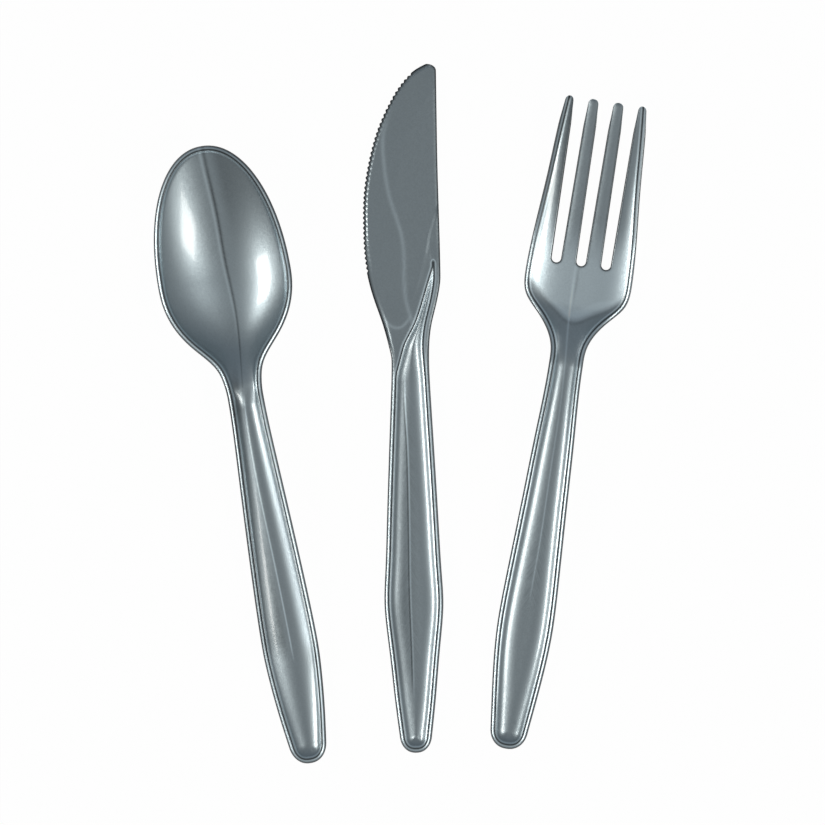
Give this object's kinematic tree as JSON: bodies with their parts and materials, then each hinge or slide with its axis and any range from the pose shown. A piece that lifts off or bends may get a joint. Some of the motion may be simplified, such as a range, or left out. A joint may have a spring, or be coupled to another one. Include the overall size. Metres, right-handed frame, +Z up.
{
  "type": "disposable cutlery set",
  "caption": "Moulded silver plastic spoon, serrated knife and fork lying side by side, with shallow trough handles, for eating single meals.",
  "frame": {"origin": "on the table, under the middle of the set's box", "axes": "+X across the set from the spoon to the fork, +Y from the handle ends to the bowl, blade and tines, +Z up from the table"},
  "size_m": [0.1358, 0.1936, 0.0119],
  "materials": {
    "silver_plastic": "glossy injection-moulded polystyrene with fine silver flake in it"
  },
  "bodies": {
    "root": {"spoon": "silver_plastic", "knife": "silver_plastic", "fork": "silver_plastic"}
  },
  "joints": []
}
